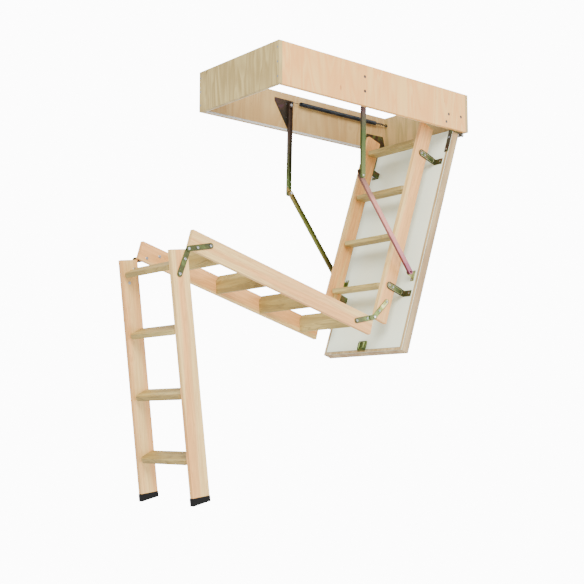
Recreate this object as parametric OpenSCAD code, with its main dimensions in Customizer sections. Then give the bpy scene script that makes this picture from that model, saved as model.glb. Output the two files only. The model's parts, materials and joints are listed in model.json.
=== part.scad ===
// Three-section folding loft ladder in a plywood casing.
// Origin: centre of the casing opening, level with the casing's lower edge.
// +X points to the hinged end of the hatch, +Z points up into the loft.
// Everything that moves is drawn in its stowed, straightened place and is then
// swung to the half-unfolded pose about its own hinge axes.

/* [Casing] */
// Outside length of the casing along X
casing_l = 1206; // [1100:1:1320]
// Outside width of the casing along Y
casing_w = 570; // [520:1:640]
// Height of the casing boards
casing_h = 188; // [165:1:240]
// Thickness of the casing boards
board_t = 19; // [16:0.5:24]
// Height of the sealing strip round the inner lower edge
seal_h = 9; // [5:0.5:11]
// Thickness of the sealing strip
seal_t = 2.4; // [1:0.1:2.6]

/* [Hatch] */
// Total thickness of the insulated hatch
hatch_t = 45; // [36:0.5:52]
// Thickness of the inner and outer skins
skin_t = 3; // [2:0.5:6]
// Width of the timber rim round the insulation
rim_w = 34; // [20:1:50]
// Recess of the closed hatch above the casing's lower edge
hatch_recess = 8; // [6:0.5:12]
// Gap between the hatch and the casing at each long side
side_gap = 5; // [4.5:0.5:8]
// Gap between the hatch and the casing at its two ends
end_gap = 8.5; // [8:0.5:12]
// Angle that the hatch hangs open
open_angle = 70.8; // [60:0.1:75]

/* [Ladder] */
// Outside width over the stiles
ladder_w = 384; // [340:1:410]
// Depth of a stile from its back edge to its front edge
stile_w = 80; // [65:1:90]
// Thickness of a stile
stile_t = 20; // [18:0.5:24]
// Length of the stiles of the upper section
upper_l = 1029; // [880:1:1040]
// Length of the stiles of the middle section
middle_l = 1038; // [900:1:1100]
// Length of the stiles of the lower section
lower_l = 975; // [880:1:1100]
// Distance from the free end of the hatch to the end of the upper section
hatch_overhang = 104; // [90:1:160]
// Space between the hatch and the stiles of the upper section
standoff = 63; // [48:1:75]
// Distance between treads along the ladder
tread_pitch = 254; // [215:1:255]
// Thickness of a tread
tread_t = 20; // [16:0.5:24]
// Distance from the first fold up to the lowest tread of the upper section
upper_tread_up = 178; // [120:1:200]
// Distance from the first fold down to the highest tread of the middle section
middle_tread_down = 115; // [70:1:150]
// Distance from the second fold down to the highest tread of the lower section
lower_tread_down = 60; // [50:1:120]
// Depth of the trench in the stile that holds a tread
trench_d = 6; // [3:0.5:9]
// Chamfer on the front corners of a tread
tread_chamfer = 20; // [8:0.5:24]
// Height of a foot cap at the front edge of the stile
foot_h = 31; // [24:0.5:40]

/* [Folds] */
// Angle between straight and drawn pose at the first fold
fold_1_angle = 86.9; // [60:0.1:110]
// Angle between straight and drawn pose at the second fold
fold_2_angle = 113.2; // [90:0.1:130]
// Distance of the fold axes in front of the stile edges
fold_offset = 4; // [3.2:0.1:6]
// Gap between the ends of two sections when the ladder is straight
fold_gap = 1; // [0.5:0.1:3]
// Length of a fold leaf from its axis to its far end
leaf_l = 123; // [110:1:130]
// Width of a fold leaf
leaf_w = 23; // [18:0.5:24]
// Angle between a fold leaf and its stile
leaf_angle = 28; // [27:0.5:32]
// Radius of the fold rivets
fold_pin_r = 3; // [2:0.1:3]

/* [Arms] */
// Distance of the upper arm pivots from the middle of the casing, towards the free end
arm_x = 80; // [60:1:110]
// Height of the upper arm pivots above the casing's lower edge
arm_z = 128; // [120:1:140]
// Length of an upper arm between its pivots
upper_arm_l = 441; // [400:1:460]
// Length of a lower arm between its pivots
lower_arm_l = 513; // [490:1:540]
// Distance from the free end of the hatch to the foot of the arms
arm_foot_x = 371; // [350:1:400]
// Height of the arm foot pivots above the hatch
arm_foot_h = 41; // [30:1:55]
// Width of an arm
arm_w = 24; // [18:0.5:28]
// Depth of the folded arm channel
arm_d = 12; // [8:0.5:12]
// Sheet thickness of the arms
arm_sheet = 2.5; // [1.5:0.1:3]
// Radius of the arm rivets
arm_pin_r = 4; // [3:0.1:5]
// Length of the short lever above the upper arm pivot
lever_l = 15; // [13:1:19]

/* [Springs] */
// Outside diameter of the coil springs
spring_d = 21; // [14:0.5:22]
// Length of the close-wound stretch of a spring
spring_coil_l = 530; // [420:1:560]

/* [Fittings] */
// Sheet thickness of brackets, leaves and plates
sheet_t = 3; // [2:0.1:3]
// Radius of the hatch hinge pins
hinge_pin_r = 4; // [3:0.1:4.5]
// Distance of the hatch hinge axis from the casing's end board
hinge_inset = 3; // [2:0.5:6]
// Depth of the hatch hinge axis below the casing's lower edge
hinge_drop = 12; // [10:0.5:16]
// Width of a hatch hinge strap
strap_w = 24; // [18:1:26]
// Length of a hatch hinge strap on the hatch
strap_l = 120; // [80:1:150]
// Width of a stile bracket
bracket_w = 30; // [24:1:36]
// Running clearance of pins in their holes, on the radius
pin_clear = 0.05; // [0.02:0.01:0.1]

/* [Hidden] */
$fn = 48;

// Colours
pine = [0.90, 0.78, 0.62];
plywood = [0.88, 0.77, 0.65];
zinc_yellow = [0.62, 0.58, 0.36];
white_board = [0.88, 0.90, 0.87];
dark_steel = [0.20, 0.21, 0.22];
black_plastic = [0.07, 0.07, 0.07];
bright_steel = [0.72, 0.72, 0.70];
foam = [0.93, 0.93, 0.90];

eps = 0.01;
seat = 0.15;         // clearance of what is fixed in wood
air = 0.3;           // clearance between sheets that pass each other

// Casing
inner_l = casing_l - 2 * board_t;
inner_w = casing_w - 2 * board_t;
side_y = inner_w / 2;
end_x = inner_l / 2;

// Hatch, in its closed place
hatch_x0 = -end_x + end_gap;
hatch_x1 = end_x - end_gap;
hatch_y = side_y - side_gap;
hatch_z0 = hatch_recess;
hatch_z1 = hatch_z0 + hatch_t;
hinge_x = end_x - hinge_inset;
hinge_z = -hinge_drop;
eye_r = hinge_pin_r + 3;

// Ladder, in its stowed and straightened place
back_z = hatch_z1 + standoff;
front_z = back_z + stile_w;
fold_1_x = hatch_x0 + hatch_overhang;
fold_2_x = fold_1_x - middle_l - fold_gap;
foot_x = fold_2_x - fold_gap / 2 - lower_l;
fold_1_z = front_z + fold_offset;
fold_2_z = back_z - fold_offset;
stile_y = ladder_w / 2;
inner_y = stile_y - stile_t;
trench_y = inner_y + trench_d;
tread_tilt = 90 - open_angle;
tread_depth = (stile_w - tread_t * sin(tread_tilt)) / cos(tread_tilt);
treads = 4;

// Fittings on the long sides, seen from the middle outwards
strap_y1 = side_y - sheet_t - air - 0.7;
strap_y0 = strap_y1 - strap_w;
arm_y1 = side_y - sheet_t - 1;
arm_y0 = arm_y1 - arm_d;
lower_arm_y1 = arm_y0 - 2;
lower_arm_y0 = lower_arm_y1 - arm_d;
foot_lug_y1 = lower_arm_y0 - 1.5;
foot_lug_y0 = foot_lug_y1 - 20;
bolt_r = 3.2;
bolt_head_r = 7;
screw_r = 2.2;
screw_head_r = 4.6;

// Arm pivots. The foot swings with the hatch; the elbow closes the two arm lengths.
foot_closed = [hatch_x0 + arm_foot_x - hinge_x, hatch_z1 + arm_foot_h - hinge_z];
foot_rest = [hinge_x + foot_closed[0] * cos(open_angle) - foot_closed[1] * sin(open_angle),
    hinge_z + foot_closed[0] * sin(open_angle) + foot_closed[1] * cos(open_angle)];
arm_top = [-arm_x, arm_z];
arm_span = norm(foot_rest - arm_top);
arm_aim = atan2(foot_rest[1] - arm_top[1], foot_rest[0] - arm_top[0]);
arm_spread = acos((upper_arm_l ^ 2 + arm_span ^ 2 - lower_arm_l ^ 2) / (2 * upper_arm_l * arm_span));
upper_arm_aim = arm_aim - arm_spread;
elbow = arm_top + upper_arm_l * [cos(upper_arm_aim), sin(upper_arm_aim)];
lower_arm_aim = atan2(foot_rest[1] - elbow[1], foot_rest[0] - elbow[0]);

// Spring line
spring_z = arm_z + lever_l;
spring_y = arm_y0 - 2;
spring_x0 = -arm_x + 46;
spring_x1 = spring_x0 + spring_coil_l;
eye_ring_r = 8;
eye_x = end_x - 4 - eye_ring_r;
lever_pin_r = 4;

// ---------- frames ----------

// Turns children about a Y axis through [x, z]
module swing(x, z, angle) {
    translate([x, 0, z])
        rotate([0, angle, 0])
            translate([-x, 0, -z])
                children();
}

// From the closed hatch to the open hatch
module on_hatch() {
    swing(hinge_x, hinge_z, -open_angle)
        children();
}

// From the straight ladder to the middle section
module on_middle() {
    on_hatch()
        swing(fold_1_x, fold_1_z, fold_1_angle)
            children();
}

// From the straight ladder to the lower section
module on_lower() {
    on_middle()
        swing(fold_2_x, fold_2_z, -fold_2_angle)
            children();
}

// The same piece at the front side and at the back side
module both_sides() {
    children();
    mirror([0, 1, 0])
        children();
}

// ---------- shared shapes ----------

// A rod along Y from y0 to y1 through [x, z]
module rod_y(x, z, y0, y1, r) {
    translate([x, y0, z])
        rotate([-90, 0, 0])
            cylinder(h = y1 - y0, r = r);
}

// A rod along X from x0 to x1 through [y, z]
module rod_x(x0, x1, y, z, r) {
    translate([x0, y, z])
        rotate([0, 90, 0])
            cylinder(h = x1 - x0, r = r);
}

// Flat outline with round ends, from the origin along +X
module bar_outline(l, w) {
    translate([0, -w / 2])
        square([l, w]);
    circle(d = w);
    translate([l, 0])
        circle(d = w);
}

// A plate that stands in the XZ plane between y0 and y1, drawn as an XZ outline
module upright(y0, y1) {
    translate([0, y1, 0])
        rotate([90, 0, 0])
            linear_extrude(height = y1 - y0)
                children();
}

// A bar in the XZ plane from [x, z], aimed at an angle above +X
module bar_xz(x, z, aim, l, w, y0, y1) {
    translate([x, 0, z])
        rotate([0, -aim, 0])
            upright(y0, y1)
                bar_outline(l, w);
}

// ---------- casing ----------

bracket_bolt_z = [66, 133];
bracket_bolt_x = -arm_x - 20;
plate_bolt_at = [[end_x - 139, 27], [end_x - 121, 67], [end_x - 33, 69]];

// Holes and counterbores for the bolts of both plates in one long side, on +Y
module side_bolt_holes() {
    for (z = bracket_bolt_z)
        side_bolt_hole(bracket_bolt_x, z);
    for (p = plate_bolt_at)
        side_bolt_hole(p[0], p[1]);
}

module side_bolt_hole(x, z) {
    rod_y(x, z, side_y - 1, side_y + board_t + 1, bolt_r + seat);
    rod_y(x, z, side_y + board_t - 2, side_y + board_t + 1, bolt_head_r + seat);
}

// One bolt through a plate and a long side, with its nut inside, on +Y
module side_bolt(x, z) {
    rod_y(x, z, side_y - sheet_t - 0.6, side_y + board_t - 2, bolt_r);
    rod_y(x, z, side_y + board_t - 2, side_y + board_t - 0.2, bolt_head_r);
}

module casing_side() {
    difference() {
        translate([-casing_l / 2 + board_t, side_y, 0])
            cube([casing_l - 2 * board_t, board_t, casing_h]);
        side_bolt_holes();
    }
}

corner_screw_z = [30, casing_h / 2, casing_h - 30];

module casing_end(sx) {
    difference() {
        translate([sx > 0 ? end_x : -end_x - board_t, -casing_w / 2, 0])
            cube([board_t, casing_w, casing_h]);
        for (sy = [-1, 1])
            for (z = corner_screw_z)
                translate([sx * end_x, sy * (side_y + board_t / 2), z])
                    rotate([0, 90, 0])
                        translate([0, 0, sx > 0 ? -1 : -board_t - 1])
                            cylinder(h = board_t + 2, r = screw_head_r + seat);
        if (sx > 0)
            for (sy = [-1, 1])
                rod_x(end_x - 1, end_x + 12, sy * spring_y, spring_z, 2.5 + seat);
    }
}

module casing_side_front() {
    color(plywood)
        mirror([0, 1, 0])
            casing_side();
}

module casing_side_back() {
    color(plywood)
        casing_side();
}

module casing_end_free() {
    color(plywood)
        casing_end(-1);
}

module casing_end_hinge() {
    color(plywood)
        casing_end(1);
}

module corner_screws() {
    color(bright_steel)
        for (sx = [-1, 1])
            for (sy = [-1, 1])
                for (z = corner_screw_z)
                    translate([0, sy * (side_y + board_t / 2), z])
                        if (sx > 0)
                            rod_x(end_x, end_x + board_t - 0.2, 0, 0, screw_head_r);
                        else
                            rod_x(-end_x - board_t + 0.2, -end_x, 0, 0, screw_head_r);
}

seal_x1 = plate_bolt_at[0][0] - 22;

module seal_strip() {
    color(white_board) {
        both_sides()
            translate([-end_x, side_y - seal_t, 0.2])
                cube([seal_x1 + end_x, seal_t, seal_h]);
        translate([-end_x, -side_y + seal_t, 0.2])
            cube([seal_t, 2 * (side_y - seal_t), seal_h]);
    }
}

// Triangular plate that carries the upper arm, on +Y
module arm_bracket() {
    top_z = casing_h - 34;
    tip_z = seal_h + 6;
    difference() {
        upright(side_y - sheet_t, side_y)
            polygon([[-arm_x - 92, top_z], [-arm_x - 92, top_z - 16], [-arm_x - 14, tip_z],
                [-arm_x + 8, tip_z], [-arm_x + 26, top_z - 10], [-arm_x + 26, top_z]]);
        rod_y(-arm_x, arm_z, side_y - 20, side_y + 1, arm_pin_r + pin_clear);
        for (z = bracket_bolt_z)
            rod_y(bracket_bolt_x, z, side_y - 20, side_y + 1, bolt_r + seat);
    }
}

module arm_bracket_front() {
    color(zinc_yellow)
        mirror([0, 1, 0])
            arm_bracket();
}

module arm_bracket_back() {
    color(zinc_yellow)
        arm_bracket();
}

// Plate that carries the hatch hinge pin, on +Y
module hinge_plate() {
    lug = eye_r + 3;
    difference() {
        union() {
            upright(side_y - sheet_t, side_y)
                union() {
                    polygon([[plate_bolt_at[0][0] - 14, 14], [plate_bolt_at[1][0] - 16, 82],
                        [plate_bolt_at[2][0] + 14, 84], [hinge_x - 1, 30],
                        [hinge_x - 1, -hinge_drop], [hinge_x - lug, -hinge_drop]]);
                    translate([hinge_x, hinge_z])
                        circle(r = lug);
                    translate([hinge_x - lug, hinge_z])
                        square([lug + hinge_inset - 0.4, 20]);
                }
        }
        rod_y(hinge_x, hinge_z, side_y - 20, side_y + 1, hinge_pin_r + pin_clear);
        for (p = plate_bolt_at)
            rod_y(p[0], p[1], side_y - 20, side_y + 1, bolt_r + seat);
    }
}

module hinge_plate_front() {
    color(zinc_yellow)
        mirror([0, 1, 0])
            hinge_plate();
}

module hinge_plate_back() {
    color(zinc_yellow)
        hinge_plate();
}

module plate_bolts() {
    color(bright_steel)
        both_sides() {
            for (z = bracket_bolt_z)
                side_bolt(bracket_bolt_x, z);
            for (p = plate_bolt_at)
                side_bolt(p[0], p[1]);
        }
}

// Close-wound coil with a rod hook at each end, on +Y
module spring() {
    hook_r = 2;
    rod_x(spring_x0, spring_x1, spring_y, spring_z, spring_d / 2);
    rod_x(-arm_x + lever_pin_r + air + 0.3, spring_x0, spring_y, spring_z, hook_r);
    rod_x(spring_x1, eye_x - eye_ring_r - air, spring_y, spring_z, hook_r);
}

module spring_front() {
    color(dark_steel)
        mirror([0, 1, 0])
            spring();
}

module spring_back() {
    color(dark_steel)
        spring();
}

// Screw eyes in the hinge-end board that hold the springs
module spring_eyes() {
    wire_r = 2.5;
    color(bright_steel)
        both_sides()
            difference() {
                union() {
                    rod_x(end_x - 4, end_x + 11, spring_y, spring_z, wire_r);
                    rod_y(eye_x, spring_z, spring_y - wire_r, spring_y + wire_r, eye_ring_r);
                }
                rod_y(eye_x, spring_z, spring_y - 9, spring_y + 9, eye_ring_r - 3.5);
            }
}

// Angle on the free-end board that the latch cam hooks over
keeper_z = hatch_z1 + 4;

module latch_keeper() {
    color(zinc_yellow) {
        translate([-end_x, -20, keeper_z])
            cube([2, 40, 34]);
        translate([-end_x, -20, keeper_z])
            cube([10, 40, 2]);
    }
}

// ---------- hatch ----------

module hatch_hinge_pins() {
    color(bright_steel)
        both_sides() {
            rod_y(hinge_x, hinge_z, strap_y0 - 1, side_y + 1.5, hinge_pin_r);
            rod_y(hinge_x, hinge_z, side_y + air, side_y + 2.2, hinge_pin_r + 2);
        }
}

module hatch_slab(z0, z1, inset) {
    translate([hatch_x0 + inset, -hatch_y + inset, z0])
        cube([hatch_x1 - hatch_x0 - 2 * inset, 2 * (hatch_y - inset), z1 - z0]);
}

module hatch_inner_skin() {
    color(white_board)
        on_hatch()
            difference() {
                hatch_slab(hatch_z1 - skin_t, hatch_z1, 0);
                translate([latch_x, 0, 0])
                    cylinder(h = 200, r = latch_spindle_r + seat);
            }
}

module hatch_core() {
    color(foam)
        on_hatch()
            hatch_slab(hatch_z0 + skin_t, hatch_z1 - skin_t, rim_w + 0.5);
}

module hatch_rim() {
    color(pine)
        on_hatch()
            difference() {
                hatch_slab(hatch_z0 + skin_t, hatch_z1 - skin_t, 0);
                hatch_slab(hatch_z0, hatch_z1, rim_w);
                translate([latch_x, 0, 0])
                    cylinder(h = 200, r = latch_spindle_r + seat);
            }
}

module hatch_outer_skin() {
    color(white_board)
        on_hatch()
            difference() {
                hatch_slab(hatch_z0, hatch_z0 + skin_t, 0);
                translate([latch_x, 0, 0])
                    cylinder(h = 200, r = latch_spindle_r + seat);
            }
}

// Cranked strap from the inner face, over the end of the hatch, down to the pin
module hatch_straps() {
    web_x = hatch_x1 + air;
    color(zinc_yellow)
        on_hatch()
            both_sides()
                difference() {
                    union() {
                        translate([hatch_x1 - strap_l, strap_y0, hatch_z1])
                            cube([strap_l + air + sheet_t, strap_w, sheet_t]);
                        translate([web_x, strap_y0, hinge_z])
                            cube([sheet_t, strap_w, hatch_z1 - hinge_z + sheet_t]);
                        rod_y(hinge_x, hinge_z, strap_y0, strap_y1, eye_r);
                    }
                    rod_y(hinge_x, hinge_z, strap_y0 - 1, strap_y1 + 1, hinge_pin_r + pin_clear);
                }
}

latch_x = hatch_x0 + 27;
latch_spindle_r = 5;
latch_case_h = 9;
cam_z = hatch_z1 + latch_case_h + air;

module latch_case() {
    color(zinc_yellow)
        on_hatch()
            difference() {
                translate([latch_x - 18, -24, hatch_z1])
                    cube([46, 48, latch_case_h]);
                translate([latch_x - 16, -22, hatch_z1 - 1])
                    cube([42, 44, latch_case_h - 1]);
                translate([latch_x, 0, hatch_z1])
                    cylinder(h = 40, r = latch_spindle_r + pin_clear);
            }
}

// Turning cam with its spindle, the key end flush with the outer skin
module latch_cam() {
    color(zinc_yellow)
        on_hatch() {
            translate([latch_x, 0, hatch_z0 + 1])
                cylinder(h = cam_z - hatch_z0 + 9, r = latch_spindle_r);
            translate([latch_x, 0, cam_z])
                difference() {
                    rotate([0, 0, -90])
                        linear_extrude(height = 4)
                            bar_outline(25, 14);
                    translate([0, 0, -1])
                        cylinder(h = 6, r = latch_spindle_r - 1);
                }
        }
}

// Angle bracket with a lug beside the lower arm
module arm_foot() {
    x = hatch_x0 + arm_foot_x;
    difference() {
        union() {
            translate([x - 26, foot_lug_y0, hatch_z1])
                cube([52, foot_lug_y1 - foot_lug_y0, sheet_t]);
            translate([x - 14, foot_lug_y1 - sheet_t, hatch_z1])
                cube([28, sheet_t, arm_foot_h]);
            rod_y(x, hatch_z1 + arm_foot_h, foot_lug_y1 - sheet_t, foot_lug_y1, 14);
        }
        rod_y(x, hatch_z1 + arm_foot_h, foot_lug_y0, foot_lug_y1 + 1, arm_pin_r + pin_clear);
    }
}

module arm_feet() {
    color(zinc_yellow)
        on_hatch()
            both_sides()
                arm_foot();
}

module arm_foot_rivets() {
    x = hatch_x0 + arm_foot_x;
    z = hatch_z1 + arm_foot_h;
    color(bright_steel)
        on_hatch()
            both_sides() {
                rod_y(x, z, foot_lug_y1 - sheet_t - 2, foot_lug_y1 + 1.2, arm_pin_r);
                rod_y(x, z, foot_lug_y1 - sheet_t - 4, foot_lug_y1 - sheet_t - air, arm_pin_r + 2);
            }
}

// Stile bracket: a round-ended leg on the stile and a foot on the hatch
bracket_up = [178, 878];
bracket_leg = 26 + bracket_w / 2;

module stile_bracket(x) {
    y0 = stile_y;
    top = front_z - bracket_leg;
    upright(y0, y0 + sheet_t)
        translate([x, hatch_z1])
            rotate(90)
                bar_half(top - hatch_z1, bracket_w);
    translate([x - bracket_w / 2, y0, hatch_z1])
        cube([bracket_w, 46, sheet_t]);
}

// Outline with one round end, from the origin along +X
module bar_half(l, w) {
    translate([0, -w / 2])
        square([l, w]);
    translate([l, 0])
        circle(d = w);
}

module stile_brackets() {
    color(zinc_yellow)
        on_hatch()
            both_sides()
                for (s = bracket_up)
                    difference() {
                        stile_bracket(fold_1_x + s);
                        for (z = bracket_screw_z)
                            rod_y(fold_1_x + s, z, stile_y - 1, stile_y + 9, screw_r + seat);
                        translate([fold_1_x + s, stile_y + 34, hatch_z1 - 1])
                            cylinder(h = 9, r = screw_r + seat);
                    }
}

bracket_screw_z = [back_z + 16, front_z - bracket_leg];
leaf_bolts = [45, 110];

// Centre of a bolt on a fold leaf, as [distance along the ladder, distance across it]
function leaf_point(d) = [d * cos(leaf_angle), d * sin(leaf_angle)];

// One screw in a stile face from outside, on +Y
module face_screw(x, z, proud) {
    rod_y(x, z, trench_y + 1, stile_y + sheet_t, screw_r);
    rod_y(x, z, stile_y + sheet_t, stile_y + sheet_t + proud, screw_head_r);
}

module hatch_screws() {
    color(bright_steel)
        on_hatch()
            both_sides() {
                for (s = bracket_up) {
                    for (z = bracket_screw_z)
                        face_screw(fold_1_x + s, z, 1.6);
                    translate([fold_1_x + s, stile_y + 34, hatch_z1])
                        screw_down(sheet_t);
                }
                for (d = leaf_bolts)
                    leaf_bolt(fold_1_x + leaf_point(d)[0], fold_1_z - leaf_point(d)[1]);
                for (x = [hatch_x1 - 40, hatch_x1 - strap_l + 14])
                    translate([x, (strap_y0 + strap_y1) / 2, hatch_z1])
                        screw_down(sheet_t);
                for (dx = [-19, 19])
                    translate([hatch_x0 + arm_foot_x + dx, foot_lug_y0 + 8, hatch_z1])
                        screw_down(sheet_t);
            }
}

// A screw head seated on a sheet that lies on the hatch
module screw_down(t) {
    translate([0, 0, t])
        cylinder(h = 1.6, r = screw_head_r);
}

// ---------- ladder ----------

// Holes for leaf bolts in a stile on +Y: way is +1 up the ladder, edge is the leaf's own side
module leaf_holes(x, z, way, side) {
    for (d = leaf_bolts)
        rod_y(x + way * leaf_point(d)[0], z - side * leaf_point(d)[1],
            trench_y + 0.5, stile_y + 9, bolt_r + seat);
}

// Coach screw through a leaf into a stile, short of the trenches, on +Y
module leaf_bolt(x, z) {
    rod_y(x, z, trench_y + 1, stile_y + sheet_t + 2, bolt_r);
    rod_y(x, z, stile_y + sheet_t + seat, stile_y + sheet_t + 2, bolt_head_r - 1.5);
}

// Outline of one tread, looking down on it: width along Y, depth behind the front edge
module tread_outline(extra) {
    c = tread_chamfer;
    e = extra;
    polygon([for (s = [-1, 1])
        for (p = s < 0
            ? [[inner_y - c, 0], [inner_y, -c], [inner_y + trench_d, -c],
                [inner_y + trench_d, -tread_depth]]
            : [[inner_y + trench_d, -tread_depth], [inner_y + trench_d, -c], [inner_y, -c],
                [inner_y - c, 0]])
            [(p[0] + (p[0] > inner_y ? e : 0)) * -s, p[1]]]);
}

// A tread whose upper front edge lies at x; grow enlarges it for the trench
module tread(x, grow) {
    translate([x, 0, front_z])
        rotate([0, -tread_tilt, 0])
            translate([-tread_t - grow, 0, 0])
                rotate([90, 0, 90])
                    linear_extrude(height = tread_t + 2 * grow)
                        tread_outline(grow);
}

// Stile from x0 down to x1 with trenches at the treads, on +Y
module stile(x0, x1, tread_x) {
    difference() {
        translate([x1, inner_y, back_z])
            cube([x0 - x1, stile_t, stile_w]);
        for (x = tread_x)
            tread(x, seat);
    }
}

upper_x0 = fold_1_x + fold_gap / 2 + upper_l;
upper_x1 = fold_1_x + fold_gap / 2;
middle_x0 = fold_1_x - fold_gap / 2;
middle_x1 = fold_2_x + fold_gap / 2;
lower_x0 = fold_2_x - fold_gap / 2;
lower_x1 = foot_x;
upper_tread_x = [for (i = [0 : treads - 1]) fold_1_x + upper_tread_up + (treads - 1 - i) * tread_pitch];
middle_tread_x = [for (i = [0 : treads - 1]) fold_1_x - middle_tread_down - i * tread_pitch];
lower_tread_x = [for (i = [0 : treads - 1]) fold_2_x - lower_tread_down - i * tread_pitch];

// Fold leaf on +Y: way is +1 up the ladder; side is +1 at a front-edge fold, -1 at a back-edge fold
// The outer leaf of a pair is joggled over the eye of the inner one
module fold_leaf(x, z, way, side, outer) {
    y0 = stile_y;
    step = sheet_t + air;
    step_x = 23;
    translate([x, 0, z])
        rotate([0, way > 0 ? side * leaf_angle : 180 - side * leaf_angle, 0])
            difference() {
                if (outer) {
                    union() {
                        upright(y0 + step, y0 + step + sheet_t)
                            mirrored_half(step_x + 7);
                        translate([step_x, y0, -leaf_w / 2])
                            cube([7, step + sheet_t, leaf_w]);
                        upright(y0, y0 + sheet_t)
                            translate([step_x, 0])
                                bar_half(leaf_l - step_x - leaf_w / 2, leaf_w);
                    }
                } else {
                    upright(y0, y0 + sheet_t)
                        bar_outline(leaf_l - leaf_w / 2, leaf_w);
                }
                rod_y(0, 0, y0 - 1, y0 + 12, fold_pin_r + pin_clear);
                for (d = leaf_bolts)
                    rod_y(d, 0, y0 - 1, y0 + 12, bolt_r + seat);
            }
}

// Outline with its round end at the origin and a square end at l
module mirrored_half(l) {
    translate([0, -leaf_w / 2])
        square([l, leaf_w]);
    circle(d = leaf_w);
}

// Rivet through the eyes of a pair of fold leaves, on +Y
module fold_rivet(x, z) {
    rod_y(x, z, stile_y - 1.5, stile_y + 2 * sheet_t + 2 * air, fold_pin_r);
    rod_y(x, z, stile_y + 2 * sheet_t + 2 * air, stile_y + 2 * sheet_t + 2 * air + 1.8, fold_pin_r + 3);
}

// --- upper section ---

module upper_stile() {
    difference() {
        stile(upper_x0, upper_x1, upper_tread_x);
        leaf_holes(fold_1_x, fold_1_z, 1, 1);
        for (s = bracket_up)
            for (z = bracket_screw_z)
                rod_y(fold_1_x + s, z, trench_y + 0.5, stile_y + 1, screw_r + seat);
    }
}

module upper_stile_front() {
    color(pine)
        on_hatch()
            mirror([0, 1, 0])
                upper_stile();
}

module upper_stile_back() {
    color(pine)
        on_hatch()
            upper_stile();
}

module upper_tread(i) {
    color(pine)
        on_hatch()
            tread(upper_tread_x[i], 0);
}

module upper_tread_1() {
    upper_tread(0);
}

module upper_tread_2() {
    upper_tread(1);
}

module upper_tread_3() {
    upper_tread(2);
}

module upper_tread_4() {
    upper_tread(3);
}

module upper_leaves() {
    color(zinc_yellow)
        on_hatch()
            both_sides()
                fold_leaf(fold_1_x, fold_1_z, 1, 1, false);
}

module upper_fold_rivets() {
    color(bright_steel)
        on_hatch()
            both_sides()
                fold_rivet(fold_1_x, fold_1_z);
}

// --- middle section ---

module middle_stile() {
    difference() {
        stile(middle_x0, middle_x1, middle_tread_x);
        leaf_holes(fold_1_x, fold_1_z, -1, 1);
        leaf_holes(fold_2_x, fold_2_z, 1, -1);
    }
}

module middle_stile_front() {
    color(pine)
        on_middle()
            mirror([0, 1, 0])
                middle_stile();
}

module middle_stile_back() {
    color(pine)
        on_middle()
            middle_stile();
}

module middle_tread(i) {
    color(pine)
        on_middle()
            tread(middle_tread_x[i], 0);
}

module middle_tread_1() {
    middle_tread(0);
}

module middle_tread_2() {
    middle_tread(1);
}

module middle_tread_3() {
    middle_tread(2);
}

module middle_tread_4() {
    middle_tread(3);
}

module middle_leaves() {
    color(zinc_yellow)
        on_middle()
            both_sides() {
                fold_leaf(fold_1_x, fold_1_z, -1, 1, true);
                fold_leaf(fold_2_x, fold_2_z, 1, -1, true);
            }
}

module middle_bolts() {
    color(bright_steel)
        on_middle()
            both_sides()
                for (d = leaf_bolts) {
                    leaf_bolt(fold_1_x - leaf_point(d)[0], fold_1_z - leaf_point(d)[1]);
                    leaf_bolt(fold_2_x + leaf_point(d)[0], fold_2_z + leaf_point(d)[1]);
                }
}

// --- lower section ---

module lower_stile() {
    difference() {
        stile(lower_x0, lower_x1, lower_tread_x);
        leaf_holes(fold_2_x, fold_2_z, -1, -1);
    }
}

module lower_stile_front() {
    color(pine)
        on_lower()
            mirror([0, 1, 0])
                lower_stile();
}

module lower_stile_back() {
    color(pine)
        on_lower()
            lower_stile();
}

module lower_tread(i) {
    color(pine)
        on_lower()
            tread(lower_tread_x[i], 0);
}

module lower_tread_1() {
    lower_tread(0);
}

module lower_tread_2() {
    lower_tread(1);
}

module lower_tread_3() {
    lower_tread(2);
}

module lower_tread_4() {
    lower_tread(3);
}

module lower_leaves() {
    color(zinc_yellow)
        on_lower()
            both_sides()
                fold_leaf(fold_2_x, fold_2_z, -1, -1, false);
}

module lower_bolts() {
    color(bright_steel)
        on_lower()
            both_sides()
                for (d = leaf_bolts)
                    leaf_bolt(fold_2_x - leaf_point(d)[0], fold_2_z + leaf_point(d)[1]);
}

module lower_fold_rivets() {
    color(bright_steel)
        on_lower()
            both_sides()
                fold_rivet(fold_2_x, fold_2_z);
}

// Wedge cap with a socket that the stile end fits into
module foot_cap() {
    wall = 1.6;
    lip = 9;
    heel = foot_h - 9;
    difference() {
        upright(inner_y - wall, stile_y + wall)
            polygon([[lower_x1 + lip, back_z - wall], [lower_x1 + lip, front_z + wall],
                [lower_x1 - foot_h + lip, front_z + wall], [lower_x1 - heel + lip, back_z - wall]]);
        translate([lower_x1, inner_y - seat, back_z - seat])
            cube([lip + 1, stile_t + 2 * seat, stile_w + 2 * seat]);
    }
}

module foot_caps() {
    color(black_plastic)
        on_lower()
            both_sides()
                foot_cap();
}

// ---------- arms ----------

// Folded channel, open towards the middle of the ladder, from its first to its second pivot
module arm_channel(l, y0, y1) {
    difference() {
        upright(y0, y1)
            bar_outline(l, arm_w);
        upright(y0 - 1, y1 - arm_sheet)
            translate([arm_w / 2, -arm_w / 2 + arm_sheet])
                square([l - arm_w, arm_w - 2 * arm_sheet]);
    }
}

module arm_pivot_pins() {
    color(bright_steel)
        both_sides() {
            rod_y(arm_top[0], arm_top[1], arm_y0 - 1, side_y - 0.4, arm_pin_r);
            rod_y(arm_top[0], arm_top[1], arm_y0 - 3, arm_y0 - air, arm_pin_r + 3);
        }
}

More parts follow.
